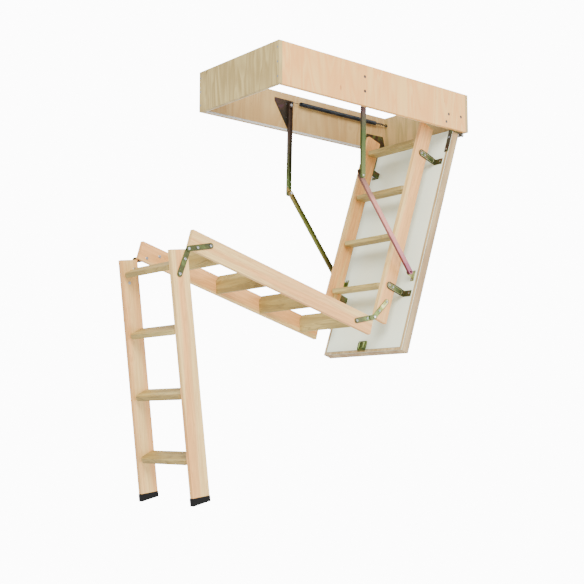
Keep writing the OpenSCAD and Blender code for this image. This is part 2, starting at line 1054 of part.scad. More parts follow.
// Upper arm with the short lever that the spring pulls, on +Y
module upper_arm() {
    translate([arm_top[0], 0, arm_top[1]])
        rotate([0, -upper_arm_aim, 0])
            difference() {
                union() {
                    arm_channel(upper_arm_l, arm_y0, arm_y1);
                    upright(arm_y1 - arm_sheet, arm_y1)
                        translate([-lever_l, 0])
                            bar_outline(lever_l, arm_w - 4);
                    rod_y(-lever_l, 0, arm_y0 - 4, arm_y1, lever_pin_r);
                }
                rod_y(0, 0, arm_y0 - 1, arm_y1 + 1, arm_pin_r + pin_clear);
                rod_y(upper_arm_l, 0, arm_y0 - 1, arm_y1 + 1, arm_pin_r + pin_clear);
            }
}

module upper_arm_front() {
    color(zinc_yellow)
        mirror([0, 1, 0])
            upper_arm();
}

module upper_arm_back() {
    color(zinc_yellow)
        upper_arm();
}

module elbow_pins() {
    color(bright_steel)
        both_sides() {
            rod_y(elbow[0], elbow[1], lower_arm_y0 - 1, arm_y1 + 0.4, arm_pin_r);
            rod_y(elbow[0], elbow[1], lower_arm_y0 - 3, lower_arm_y0 - air, arm_pin_r + 3);
        }
}

// Lower arm with its stop tab beyond the elbow, on +Y
module lower_arm() {
    translate([elbow[0], 0, elbow[1]])
        rotate([0, -lower_arm_aim, 0])
            difference() {
                union() {
                    arm_channel(lower_arm_l, lower_arm_y0, lower_arm_y1);
                    upright(lower_arm_y1 - arm_sheet, lower_arm_y1)
                        translate([-24, 0])
                            bar_outline(24, arm_w - 6);
                }
                rod_y(0, 0, lower_arm_y0 - 1, lower_arm_y1 + 1, arm_pin_r + pin_clear);
                rod_y(lower_arm_l, 0, lower_arm_y0 - 1, lower_arm_y1 + 1, arm_pin_r + 1);
            }
}

module lower_arm_front() {
    color(zinc_yellow)
        mirror([0, 1, 0])
            lower_arm();
}

module lower_arm_back() {
    color(zinc_yellow)
        lower_arm();
}

// ---------- nodes ----------

casing_side_front();
casing_side_back();
casing_end_free();
casing_end_hinge();
corner_screws();
seal_strip();
arm_bracket_front();
arm_bracket_back();
hinge_plate_front();
hinge_plate_back();
plate_bolts();
spring_front();
spring_back();
spring_eyes();
latch_keeper();
hatch_hinge_pins();
hatch_inner_skin();
hatch_core();
hatch_rim();
hatch_outer_skin();
hatch_straps();
latch_case();
arm_feet();
arm_foot_rivets();
stile_brackets();
hatch_screws();
upper_stile_front();
upper_stile_back();
upper_tread_1();
upper_tread_2();
upper_tread_3();
upper_tread_4();
upper_leaves();
latch_cam();
upper_fold_rivets();
middle_stile_front();
middle_stile_back();
middle_tread_1();
middle_tread_2();
middle_tread_3();
middle_tread_4();
middle_leaves();
middle_bolts();
lower_stile_front();
lower_stile_back();
lower_tread_1();
lower_tread_2();
lower_tread_3();
lower_tread_4();
lower_leaves();
lower_bolts();
lower_fold_rivets();
foot_caps();
arm_pivot_pins();
upper_arm_front();
upper_arm_back();
elbow_pins();
lower_arm_front();
lower_arm_back();
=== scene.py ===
"""Studio scene of a three-section folding loft ladder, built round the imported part."""
import json
import math

import bmesh
import bpy
from mathutils import Matrix, Vector


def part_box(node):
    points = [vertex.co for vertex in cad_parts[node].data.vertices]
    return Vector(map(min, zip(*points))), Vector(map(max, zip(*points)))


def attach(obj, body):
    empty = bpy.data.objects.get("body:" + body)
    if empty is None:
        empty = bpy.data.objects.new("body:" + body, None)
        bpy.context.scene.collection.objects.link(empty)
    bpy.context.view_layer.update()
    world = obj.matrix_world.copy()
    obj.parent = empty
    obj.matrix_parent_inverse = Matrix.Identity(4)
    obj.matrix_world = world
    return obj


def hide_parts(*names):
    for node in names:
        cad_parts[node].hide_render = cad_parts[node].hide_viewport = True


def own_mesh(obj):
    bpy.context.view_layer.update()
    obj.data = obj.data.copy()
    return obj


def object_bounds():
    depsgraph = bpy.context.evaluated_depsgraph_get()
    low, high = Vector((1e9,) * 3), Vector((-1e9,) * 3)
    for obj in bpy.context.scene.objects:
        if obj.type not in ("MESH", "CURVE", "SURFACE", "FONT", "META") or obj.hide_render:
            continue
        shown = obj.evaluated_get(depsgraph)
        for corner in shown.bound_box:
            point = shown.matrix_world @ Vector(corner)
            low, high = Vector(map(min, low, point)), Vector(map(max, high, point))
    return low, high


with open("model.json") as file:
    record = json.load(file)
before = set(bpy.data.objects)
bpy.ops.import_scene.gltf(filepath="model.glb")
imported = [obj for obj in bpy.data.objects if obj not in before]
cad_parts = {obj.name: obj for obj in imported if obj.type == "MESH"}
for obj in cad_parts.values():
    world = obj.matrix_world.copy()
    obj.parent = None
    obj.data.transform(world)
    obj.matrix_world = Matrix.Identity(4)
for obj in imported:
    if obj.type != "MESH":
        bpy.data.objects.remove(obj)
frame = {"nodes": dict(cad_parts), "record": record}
cad_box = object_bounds()

# ---------- dimensions, in metres and degrees ----------

SIDES = (("front", -1), ("back", 1))
# The rest pose: the hatch from closed, each fold from straight
OPEN_ANGLE = 70.8
FOLD_1_ANGLE = 86.9
FOLD_2_ANGLE = 113.2
# Turns of the three ladder sections about the Y axis
UPPER_TURN = OPEN_ANGLE
MIDDLE_TURN = UPPER_TURN - FOLD_1_ANGLE
LOWER_TURN = MIDDLE_TURN + FOLD_2_ANGLE
TREADS = 4

# Fold leaves, measured from their pin
SHEET = 0.003
LEAF_ANGLE = 28.0
LEAF_W = 0.023
LEAF_REACH = 0.123
LEAF_BOLTS = (0.045, 0.110)
LEAF_RIM_START = 0.031
LEAF_RIM_INSET = 0.001
LEAF_RIM_R = 0.0009
LEAF_HEAD_R = 0.0056
LEAF_HEAD_H = 0.0016
LEAF_HEAD_LIFT = 0.0018
# Radius and height along the turned outline of a round nut
NUT_OUTLINE = [(0, -0.0012), (0.0068, -0.0012), (0.0068, 0.0008), (0.0060, 0.0013), (0.0050, 0.0013),
    (0.0044, 0.0003), (0.0030, 0.0003), (0.0026, 0.0011), (0, 0.0012)]
# Corners along the half circle of a round end
ROUND_STEPS = 10

# The closed hatch, measured from its hinge axis
HATCH_NEAR = -0.0055
HATCH_FAR = -1.1565
HATCH_OUTER = 0.020
HATCH_INNER = 0.065
HATCH_SKIN = 0.003
HATCH_HALF_W = 0.261
EDGING_W = 0.013
EDGING_T = 0.0008
EDGING_SINK = 0.0004
EDGING_CHAMFER = 0.0003
JOINT_LINE_R = 0.0007
JOINT_LINE_LIFT = 0.0002

# Stile brackets: heights are above the hatch hinge axis, in the closed hatch's frame
BRACKET_W = 0.030
BRACKET_FOOT = 0.092
BRACKET_TOP = 0.167
BRACKET_SCREWS = (0.144, 0.167)
BRACKET_RIM_R = 0.0025
BRACKET_BEAD_INSET = 0.0085
BRACKET_BEAD_R = 0.0012
BRACKET_HEAD_R = 0.0048
BRACKET_HEAD_H = 0.0014
BRACKET_HEAD_LIFT = 0.0014

# Latch: its place along the closed hatch, then sizes from there and from the inner face
LATCH_X = -1.1295
LUG_STARTS = (-0.021, 0.008)
LUG_W = 0.013
LUG_BACK = 0.012
LUG_FRONT = 0.021
LUG_BASE = 0.0085
LUG_TOP = 0.0165
LUG_CHAMFER = 0.003
LATCH_EDGE_Y = 0.0225
LATCH_EDGE_BACK = 0.016
LATCH_EDGE_FRONT = 0.026
LATCH_EDGE_LIFT = 0.0092
LATCH_EDGE_R = 0.0012

# Sealing strip, with the heights of its lips as shares of its own
SEAL_T = 0.0024
SEAL_LIP_R = 0.0008
SEAL_LIP_LEVELS = (0.30, 0.78)
SEAL_END_GAP = 0.002

# Springs: the hook, the coil with a taper at each end, then the twisted link
WIRE_R = 0.0016
SPRING_END = 0.0022
HOOK_LENGTH = 0.044
# The hook's wire runs this far outside the coil's axis, clear of the lower arm
HOOK_OFFSET = 0.0018
COIL_LENGTH = 0.530
COIL_LEAD = 0.002
COIL_START = 0.011
COIL_GAP = 0.0003
COIL_STEPS = 12
TAPER_STEPS = 10
TAPER_IN = 0.010
TAPER_OUT = 0.006
CORE_START = 0.008
LINK_START = 0.006
LINK_SHORTER = 0.010
LINK_STEPS = 24
LINK_TURNS = 1.5
LINK_ROOT = 0.0022
LINK_SWELL = 0.0036
LINK_WIRE_R = WIRE_R * 1.2

# Widths of the rounded edges
PLY_EDGE = 0.0012
STILE_EDGE = 0.002
TREAD_EDGE = 0.0016
SHEET_EDGE = 0.0006
CASE_EDGE = 0.0015
CAM_EDGE = 0.0012
KEEPER_EDGE = 0.0004
PIN_EDGE = 0.0008
RIVET_EDGE = 0.0007
SCREW_EDGE = 0.0005
WELD_GAP = 0.00002
FLAT_ANGLE = 1
SHARP_ANGLE = 35

# Stage
WORLD_GLOW = 1.25
BACKDROP_GLOW = 12.0
FLOOR_RADIUS = 4.5
FLOOR_DROP = 1.35
LENS = 66.7
SENSOR_W = 36
EYE = (-3.404, -3.655, -1.420)
EYE_TILT = 97.0
EYE_HEADING = -40.45

joints = {j["name"]: j for j in frame["record"]["behaviour"]["joints"]}


def joint_origin(name):
    """Where a joint's axis lies at rest, in the row frame."""
    return Vector(joints[name]["pos_m"])


def turn_y(degrees):
    """A turn about the row frame's Y axis, from +Z towards +X."""
    return Matrix.Rotation(math.radians(degrees), 4, "Y")


# ---------- shader helpers ----------

class Shader:
    """A material's node tree with short calls for the nodes used here."""

    def __init__(self, name, roughness=0.5, metallic=0.0, coat=0.0):
        self.material = bpy.data.materials.new(name)
        self.material.use_nodes = True
        self.tree = self.material.node_tree
        self.bsdf = self.tree.nodes["Principled BSDF"]
        self.bsdf.inputs["Roughness"].default_value = roughness
        self.bsdf.inputs["Metallic"].default_value = metallic
        self.bsdf.inputs["Coat Weight"].default_value = coat
        self.bsdf.inputs["Coat Roughness"].default_value = 0.25

    def node(self, kind, **values):
        made = self.tree.nodes.new(kind)
        for key, value in values.items():
            setattr(made, key, value)
        return made

    def link(self, a, b):
        self.tree.links.new(a, b)

    def coords(self, turn=0.0, offset=(0, 0, 0), scale=(1, 1, 1)):
        """Object coordinates turned about Y, moved and stretched."""
        place = self.node("ShaderNodeTexCoord")
        turned = self.node("ShaderNodeMapping")
        turned.inputs["Rotation"].default_value = (0, math.radians(turn), 0)
        self.link(place.outputs["Object"], turned.inputs["Vector"])
        stretched = self.node("ShaderNodeMapping")
        stretched.inputs["Location"].default_value = offset
        stretched.inputs["Scale"].default_value = scale
        self.link(turned.outputs["Vector"], stretched.inputs["Vector"])
        return stretched.outputs["Vector"]

    def noise(self, vector, scale=1.0, detail=4.0, roughness=0.5, distortion=0.0):
        made = self.node("ShaderNodeTexNoise")
        made.inputs["Scale"].default_value = scale
        made.inputs["Detail"].default_value = detail
        made.inputs["Roughness"].default_value = roughness
        made.inputs["Distortion"].default_value = distortion
        self.link(vector, made.inputs["Vector"])
        return made.outputs["Fac"]

    def ramp(self, value, stops):
        """Colour ramp through (place, colour) stops."""
        made = self.node("ShaderNodeValToRGB")
        while len(made.color_ramp.elements) < len(stops):
            made.color_ramp.elements.new(0.5)
        for element, (place, colour) in zip(made.color_ramp.elements, stops):
            element.position = place
            element.color = (*colour, 1)
        self.link(value, made.inputs["Fac"])
        return made.outputs["Color"]

    def mix(self, factor, a, b, mode="MIX"):
        made = self.node("ShaderNodeMix", data_type="RGBA", blend_type=mode)
        if isinstance(factor, float):
            made.inputs["Factor"].default_value = factor
        else:
            self.link(factor, made.inputs["Factor"])
        for key, value in (("A", a), ("B", b)):
            socket = [s for s in made.inputs if s.name == key and s.type == "RGBA"][0]
            if isinstance(value, tuple):
                socket.default_value = (*value, 1)
            else:
                self.link(value, socket)
        return [s for s in made.outputs if s.type == "RGBA"][0]

    def span(self, value, low, high):
        """Stretches a 0 to 1 value between low and high."""
        made = self.node("ShaderNodeMapRange")
        made.inputs["To Min"].default_value = low
        made.inputs["To Max"].default_value = high
        self.link(value, made.inputs["Value"])
        return made.outputs["Result"]

    def fall(self, value, heights):
        """0 at the upper height and 1 at the lower one, stirred a little by the value."""
        place = self.node("ShaderNodeTexCoord")
        parts = self.node("ShaderNodeSeparateXYZ")
        self.link(place.outputs["Object"], parts.inputs["Vector"])
        way = self.node("ShaderNodeMapRange")
        way.inputs["From Min"].default_value = heights[0]
        way.inputs["From Max"].default_value = heights[1]
        self.link(parts.outputs["Z"], way.inputs["Value"])
        stir = self.node("ShaderNodeMath", operation="MULTIPLY_ADD")
        stir.inputs[1].default_value = 0.5
        self.link(value, stir.inputs[0])
        self.link(way.outputs["Result"], stir.inputs[2])
        level = self.node("ShaderNodeMath", operation="SUBTRACT")
        level.inputs[1].default_value = 0.25
        self.link(stir.outputs["Value"], level.inputs[0])
        return level.outputs["Value"]

    def bump(self, height, strength=0.1, distance=0.001):
        made = self.node("ShaderNodeBump")
        made.inputs["Strength"].default_value = strength
        made.inputs["Distance"].default_value = distance
        self.link(height, made.inputs["Height"])
        self.link(made.outputs["Normal"], self.bsdf.inputs["Normal"])

    def colour(self, socket):
        self.link(socket, self.bsdf.inputs["Base Color"])

    def roughness(self, socket):
        self.link(socket, self.bsdf.inputs["Roughness"])


# ---------- materials ----------

def wood(name, turn, offset, light, dark, line, along="X", rings=1.0):
    """Planed softwood: heart and sap bands, growth lines and pores along the board."""
    s = Shader(name, roughness=0.55)

    def stretch(slow, fast):
        return tuple(slow if axis == along else fast for axis in "XYZ")

    bands = s.noise(s.coords(turn, offset, stretch(0.7, 13)), 1.0, 2.0, 0.4, 0.3)
    tone = s.ramp(bands, [(0.34, light), (0.46, dark), (0.54, dark), (0.62, light)])
    rings_at = s.coords(turn, offset, stretch(1.1, 26 * rings))
    growth = s.noise(rings_at, 3.0, 3.0, 0.45, 0.9)
    lines = s.ramp(growth, [(0.44, BLACK), (0.50, WHITE), (0.54, BLACK), (0.60, PALE_GREY)])
    tone = s.mix(s.span(lines, 0.0, 0.42), tone, line)
    pores = s.noise(s.coords(turn, offset, stretch(9, 420)), 1.0, 3.0, 0.6)
    tone = s.mix(s.span(pores, 0.0, 0.22), tone, line, "MULTIPLY")
    s.colour(tone)
    s.roughness(s.span(pores, 0.46, 0.64))
    s.bump(pores, 0.12, 0.0006)
    return s.material


def plywood(name, offset, light, dark, line):
    """Rotary-cut face veneer with broad flowing figure that stands upright on the board."""
    s = Shader(name, roughness=0.5)
    flow = s.noise(s.coords(0, offset, (5.5, 5.5, 0.8)), 1.4, 3.0, 0.5, 1.2)
    tone = s.ramp(flow, [(0.36, light), (0.47, dark), (0.50, light), (0.58, dark), (0.66, light)])
    crown = s.noise(s.coords(0, offset, (3.2, 3.2, 2.2)), 1.0, 1.0, 0.3, 0.5)
    veil = s.ramp(crown, [(0.42, BLACK), (0.50, MID_GREY), (0.56, BLACK)])
    tone = s.mix(veil, tone, dark)
    fine = s.noise(s.coords(0, offset, (60, 60, 3)), 1.0, 4.0, 0.6, 0.4)
    tone = s.mix(s.span(fine, 0.0, 0.32), tone, line)
    specks = s.noise(s.coords(0, offset, (55, 55, 16)), 1.0, 1.0, 0.4)
    spots = s.ramp(specks, [(0.0, BLACK), (0.76, BLACK), (0.82, WHITE)])
    tone = s.mix(s.span(spots, 0.0, 0.6), tone, line, "MULTIPLY")
    s.colour(tone)
    s.roughness(s.span(fine, 0.42, 0.6))
    s.bump(fine, 0.1, 0.0005)
    return s.material


def chromate(name, offset, stops, roughness=0.34, scale=7.0, heights=None):
    """Yellow-passivated zinc: bands of olive, gold, green and violet in a thin film.
    With heights, the bands follow each other from the upper height to the lower one."""
    s = Shader(name, roughness=roughness, metallic=0.85)
    film = s.noise(s.coords(0, offset, (1, 2.5, 1)), scale, 3.0, 0.55, 0.6)
    if heights:
        film = s.fall(film, heights)
    tone = s.ramp(film, stops)
    grain = s.noise(s.coords(0, offset), 260.0, 3.0, 0.6)
    tone = s.mix(s.span(grain, 0.0, 0.25), tone, (0.12, 0.11, 0.07))
    s.colour(tone)
    s.roughness(s.span(grain, roughness - 0.08, roughness + 0.14))
    s.bump(grain, 0.08, 0.0004)
    return s.material


def bright_zinc(name="bright_zinc_plating", dark=(0.24, 0.25, 0.26), light=(0.42, 0.43, 0.44)):
    s = Shader(name, roughness=0.3, metallic=0.95)
    cloud = s.noise(s.coords(), 90.0, 3.0, 0.6)
    s.colour(s.ramp(cloud, [(0.3, dark), (0.55, light), (0.8, dark)]))
    s.roughness(s.span(cloud, 0.22, 0.42))
    s.bump(cloud, 0.06, 0.0003)
    return s.material


def spring_steel():
    s = Shader("oiled_spring_steel", roughness=0.36, metallic=0.9)
    cloud = s.noise(s.coords(0, (0, 0, 0), (1, 4, 4)), 22.0, 3.0, 0.6)
    s.colour(s.ramp(cloud, [(0.3, STEEL_DARK), (0.55, STEEL_BLUE), (0.8, STEEL_BROWN)]))
    s.roughness(s.span(cloud, 0.28, 0.48))
    s.bump(cloud, 0.05, 0.0003)
    return s.material


def white_board(name, light, dark):
    s = Shader(name, roughness=0.38, coat=0.15)
    cloud = s.noise(s.coords(), 3.0, 2.0, 0.5)
    tone = s.ramp(cloud, [(0.3, light), (0.7, dark)])
    orange_peel = s.noise(s.coords(), 340.0, 2.0, 0.5)
    s.colour(s.mix(s.span(orange_peel, 0.0, 0.08), tone, dark))
    s.roughness(s.span(orange_peel, 0.32, 0.46))
    s.bump(orange_peel, 0.05, 0.0004)
    return s.material


def foam_core():
    s = Shader("foam_core", roughness=0.9)
    cells = s.noise(s.coords(), 380.0, 2.0, 0.7)
    s.colour(s.ramp(cells, [(0.3, (0.72, 0.72, 0.68)), (0.7, (0.86, 0.86, 0.83))]))
    s.bump(cells, 0.4, 0.0008)
    return s.material


def seal_rubber():
    s = Shader("seal_rubber", roughness=0.55)
    cells = s.noise(s.coords(), 160.0, 2.0, 0.6)
    s.colour(s.ramp(cells, [(0.3, (0.66, 0.66, 0.62)), (0.7, (0.78, 0.78, 0.74))]))
    s.bump(cells, 0.15, 0.0005)
    return s.material


def black_plastic():
    s = Shader("black_plastic_cap", roughness=0.5)
    s.bsdf.inputs["Specular IOR Level"].default_value = 0.12
    grain = s.noise(s.coords(), 420.0, 2.0, 0.6)
    s.colour(s.ramp(grain, [(0.3, (0.002, 0.002, 0.002)), (0.7, (0.006, 0.006, 0.006))]))
    s.roughness(s.span(grain, 0.42, 0.6))
    s.bump(grain, 0.08, 0.0004)
    return s.material


BLACK = (0, 0, 0)
MID_GREY = (0.5, 0.5, 0.5)
PALE_GREY = (0.7, 0.7, 0.7)
WHITE = (1, 1, 1)

PINE_LIGHT = (0.85, 0.58, 0.20)
PINE_PINK = (0.83, 0.41, 0.12)
PINE_LINE = (0.38, 0.16, 0.035)
TREAD_LIGHT = (0.60, 0.46, 0.15)
TREAD_DARK = (0.42, 0.29, 0.075)
TREAD_LINE = (0.08, 0.035, 0.008)
SIDE_LIGHT = (0.88, 0.53, 0.16)
SIDE_DARK = (0.84, 0.39, 0.10)
SIDE_LINE = (0.42, 0.17, 0.045)
END_LIGHT = (0.60, 0.46, 0.18)
END_DARK = (0.38, 0.27, 0.09)
END_LINE = (0.18, 0.11, 0.03)
RIM_EDGE = (0.74, 0.55, 0.28)
RIM_LIGHT = (0.56, 0.39, 0.17)
RIM_DARK = (0.40, 0.24, 0.09)
# Darker copy of the casing plywood tones: painted shade for the back side and the hinge end, whose inner faces
# lie in shadow
SHADED_PLY_LIGHT = (0.56, 0.37, 0.14)
SHADED_PLY_DARK = (0.46, 0.27, 0.09)
JOINT_LIGHT = (0.10, 0.06, 0.03)
JOINT_DARK = (0.06, 0.035, 0.015)
JOINT_LINE = (0.03, 0.02, 0.01)

BOARD_INNER_LIGHT = (0.90, 0.97, 0.76)
BOARD_INNER_DARK = (0.85, 0.93, 0.74)
BOARD_OUTER_LIGHT = (0.86, 0.87, 0.85)
BOARD_OUTER_DARK = (0.82, 0.83, 0.81)

STEEL_DARK = (0.016, 0.019, 0.024)
STEEL_BLUE = (0.038, 0.043, 0.052)
STEEL_BROWN = (0.06, 0.058, 0.05)
# Darker zinc tones for the plate bolts
DARKER_ZINC_DARK = (0.045, 0.05, 0.05)
DARKER_ZINC_LIGHT = (0.11, 0.115, 0.115)

OLIVE = (0.060, 0.068, 0.020)
GREEN = (0.11, 0.16, 0.045)
LIME = (0.18, 0.21, 0.04)
GOLD = (0.24, 0.17, 0.045)
BROWN = (0.055, 0.030, 0.020)
PINK = (0.38, 0.15, 0.13)
MAGENTA = (0.17, 0.045, 0.08)
VIOLET = (0.10, 0.035, 0.065)
DARK_OLIVE = (0.035, 0.04, 0.02)
MOSS = (0.035, 0.045, 0.015)
FERN = (0.05, 0.085, 0.02)
GRASS = (0.07, 0.10, 0.03)
SAGE = (0.085, 0.11, 0.03)
YELLOW_GREEN = (0.20, 0.22, 0.05)
STRAW = (0.46, 0.46, 0.20)
PALE_STRAW = (0.45, 0.46, 0.25)
OCHRE = (0.13, 0.09, 0.03)
RUST = (0.15, 0.05, 0.045)
CORAL = (0.36, 0.15, 0.12)
PLUM = (0.085, 0.045, 0.05)
TAUPE = (0.09, 0.06, 0.05)
SOOT = (0.02, 0.022, 0.012)
SLATE = (0.05, 0.052, 0.03)
UMBER = (0.02, 0.018, 0.014)

steel = bright_zinc()
dark_steel = spring_steel()
leaf_plate = chromate("leaf_chromate", (0.3, 0, 0),
    [(0.3, DARK_OLIVE), (0.5, OLIVE), (0.7, GREEN)], 0.42, 22)
pale_leaf = chromate("pale_leaf_chromate", (0.9, 0, 0),
    [(0.3, GREEN), (0.5, LIME), (0.7, STRAW)], 0.4, 22)
rim_plate = chromate("rim_chromate", (5.1, 0, 0),
    [(0.3, SOOT), (0.6, SLATE)], 0.4, 30)
bracket_plate = chromate("bracket_chromate", (1.7, 0, 0),
    [(0.3, MOSS), (0.45, GRASS), (0.58, OCHRE), (0.72, RUST)], 0.42, 30)
latch_plate = chromate("latch_chromate", (2.1, 0, 0),
    [(0.3, OLIVE), (0.5, GREEN), (0.72, LIME)], 0.36, 34)
bracket_rim = chromate("bracket_rim_chromate", (2.7, 0, 0),
    [(0.3, LIME), (0.5, PALE_STRAW), (0.7, GOLD)], 0.3, 30)
hinge_metal = chromate("hinge_chromate", (4.2, 0, 0),
    [(0.3, OLIVE), (0.5, BROWN), (0.66, GREEN), (0.8, GOLD)], 0.36, 18)
bracket_metal = chromate("arm_bracket_chromate", (6.2, 0, 0),
    [(0.3, UMBER), (0.55, BROWN), (0.75, VIOLET)], 0.36, 14)


# ---------- mesh helpers ----------

def keep_mesh(name, mesh, body, material, smooth=False):
    """Makes an object of a bmesh, gives it its material and lets it ride on a body."""
    data = bpy.data.meshes.new(name)
    bmesh.ops.recalc_face_normals(mesh, faces=mesh.faces)
    mesh.to_mesh(data)
    mesh.free()
    data.materials.append(material)
    if smooth:
        for face in data.polygons:
            face.use_smooth = True
    piece = bpy.data.objects.new(name, data)
    bpy.context.scene.collection.objects.link(piece)
    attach(piece, body)
    return piece


def lathe(mesh, outline, place, steps=24):
    """Adds a turned shape. outline is (radius, height) points; +Z of the matrix place is its axis."""
    rings = []
    for radius, height in outline:
        if radius < 1e-7:
            rings.append([mesh.verts.new(place @ Vector((0, 0, height)))])
            continue
        ring = []
        for i in range(steps):
            a = 2 * math.pi * i / steps
            point = Vector((radius * math.cos(a), radius * math.sin(a), height))
            ring.append(mesh.verts.new(place @ point))
        rings.append(ring)
    for low, high in zip(rings, rings[1:]):
        for i in range(steps):
            j = (i + 1) % steps
            corners = [low[i % len(low)], low[j % len(low)]]
            corners += [high[j % len(high)], high[i % len(high)]]
            unique = list(dict.fromkeys(corners))
            if len(unique) >= 3:
                mesh.faces.new(unique)


def tube(mesh, path, radius, steps=8, closed=False):
    """Adds a round wire that follows a path of points."""
    count = len(path)
    rings = []
    normal = None
    for k in range(count):
        before = path[k - 1] if k > 0 or closed else path[k]
        after = path[(k + 1) % count] if k < count - 1 or closed else path[k]
        ahead = (after - before).normalized()
        if normal is None:
            guide = Vector((0, 1, 0)) if abs(ahead.y) < 0.9 else Vector((1, 0, 0))
            normal = ahead.cross(guide).normalized()
        normal = (normal - ahead * normal.dot(ahead)).normalized()
        other = ahead.cross(normal)
        ring = []
        for i in range(steps):
            a = 2 * math.pi * i / steps
            spoke = radius * (math.cos(a) * normal + math.sin(a) * other)
            ring.append(mesh.verts.new(path[k] + spoke))
        rings.append(ring)
    pairs = list(zip(rings, rings[1:]))
    if closed:
        pairs.append((rings[-1], rings[0]))
    for low, high in pairs:
        for i in range(steps):
            j = (i + 1) % steps
            mesh.faces.new((low[i], low[j], high[j], high[i]))
    if not closed:
        mesh.faces.new(list(reversed(rings[0])))
        mesh.faces.new(rings[-1])


def outward(point, side):
    """A place at a point whose +Z looks out of the ladder's or casing's side."""
    place = Matrix.Rotation(math.radians(-90 * side), 4, "X")
    place.translation = point
    return place


def solid_centres(node):
    """Middle of the box round each separate solid in a CAD node."""
    data = frame["nodes"][node].data
    mesh = bmesh.new()
    mesh.from_mesh(data)
    bmesh.ops.remove_doubles(mesh, verts=mesh.verts, dist=1e-5)
    seen = set()
    found = []
    for start in mesh.verts:
        if start in seen:
            continue
        seen.add(start)
        stack = [start]
        points = []
        while stack:
            vert = stack.pop()
            points.append(vert.co.copy())
            for edge in vert.link_edges:
                other = edge.other_vert(vert)
                if other not in seen:
                    seen.add(other)
                    stack.append(other)
        low = Vector([min(p[i] for p in points) for i in range(3)])
        high = Vector([max(p[i] for p in points) for i in range(3)])
        found.append((low + high) / 2)
    mesh.free()
    return found


# ---------- finishing the CAD nodes ----------

def finish_node(node, material, width=0.001, segments=2):
    """Gives a CAD node its material and small rounded edges."""
    piece = frame["nodes"][node]
    piece.data.materials.clear()
    piece.data.materials.append(material)
    for face in piece.data.polygons:
        face.use_smooth = False
    weld = piece.modifiers.new("weld", "WELD")
    weld.merge_threshold = WELD_GAP
    if width > 0:
        flat = piece.modifiers.new("join_flat_faces", "DECIMATE")
        flat.decimate_type = "DISSOLVE"
        flat.angle_limit = math.radians(FLAT_ANGLE)
        round_edges = piece.modifiers.new("bevel", "BEVEL")
        round_edges.width = width
        round_edges.segments = segments
        round_edges.limit_method = "ANGLE"
        round_edges.angle_limit = math.radians(SHARP_ANGLE)
    return piece


def finish_casing():
    side_front = plywood("casing_side_ply_front", (0.2, 0, 0.4), SIDE_LIGHT, SIDE_DARK, SIDE_LINE)
    # The back side and the hinge end take the darker plywood tones: painted shade for the inside of the
    # casing, which lies in shadow; the back side's outer face gets it too
    side_back = plywood("casing_side_ply_back_painted_shade", (3.2, 0, 0.1), SHADED_PLY_LIGHT, SHADED_PLY_DARK, END_LINE)
    end_free = plywood("casing_end_ply_free", (1.2, 5, 0.7), END_LIGHT, END_DARK, END_LINE)
    end_hinge = plywood("casing_end_ply_hinge_painted_shade", (7.2, 2, 0.2), SHADED_PLY_LIGHT, END_DARK, END_LINE)
    finish_node("casing_side_front", side_front, PLY_EDGE)
    finish_node("casing_side_back", side_back, PLY_EDGE)
    finish_node("casing_end_free", end_free, PLY_EDGE)
    finish_node("casing_end_hinge", end_hinge, PLY_EDGE)
    finish_node("seal_strip", seal_rubber(), SHEET_EDGE)
    for side, _ in SIDES:
        finish_node("arm_bracket_" + side, bracket_metal, SHEET_EDGE)
        finish_node("hinge_plate_" + side, hinge_metal, SHEET_EDGE)
    finish_node("latch_keeper", latch_plate, KEEPER_EDGE)


def seal_lips():
    """Two thin lips along the sealing strip on the long sides and the free end."""
    low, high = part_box("seal_strip")
    mesh = bmesh.new()
    for height in SEAL_LIP_LEVELS:
        z = low.z + height * (high.z - low.z)
        for side in (-1, 1):
            y = side * (high.y - SEAL_T)
            path = [Vector((low.x + SEAL_T, y, z)), Vector((high.x - SEAL_END_GAP, y, z))]
            tube(mesh, path, SEAL_LIP_R, 6)
        x = low.x + SEAL_T
        path = [Vector((x, low.y + SEAL_T, z)), Vector((x, high.y - SEAL_T, z))]
        tube(mesh, path, SEAL_LIP_R, 6)
    shade = Shader("seal_lip_shade", roughness=0.6)
    cells = shade.noise(shade.coords(), 160.0, 2.0, 0.6)
    shade.colour(shade.ramp(cells, [(0.3, (0.20, 0.20, 0.17)), (0.7, (0.30, 0.30, 0.26))]))
    keep_mesh("seal_lips", mesh, "casing", shade.material, smooth=True)


def finish_hatch():
    inner = white_board("inner_white_skin", BOARD_INNER_LIGHT, BOARD_INNER_DARK)
    outer = white_board("outer_white_skin", BOARD_OUTER_LIGHT, BOARD_OUTER_DARK)
    finish_node("hatch_inner_skin", inner, SHEET_EDGE)
    finish_node("hatch_outer_skin", outer, SHEET_EDGE)
    finish_node("hatch_core", foam_core(), 0)
    rim = wood("hatch_rim_pine", OPEN_ANGLE, (0.4, 0.2, 0), RIM_LIGHT, RIM_DARK, TREAD_LINE)
    finish_node("hatch_rim", rim, SHEET_EDGE)
    finish_node("hatch_straps", hinge_metal, SHEET_EDGE)
    finish_node("latch_case", latch_plate, CASE_EDGE)
    finish_node("latch_cam", latch_plate, CAM_EDGE)
    finish_node("arm_feet", pale_leaf, SHEET_EDGE)
    finish_node("arm_foot_rivets", steel, PIN_EDGE)
    finish_node("stile_brackets", bracket_plate, PIN_EDGE)
    finish_node("hatch_hinge_pins", steel, SHEET_EDGE)


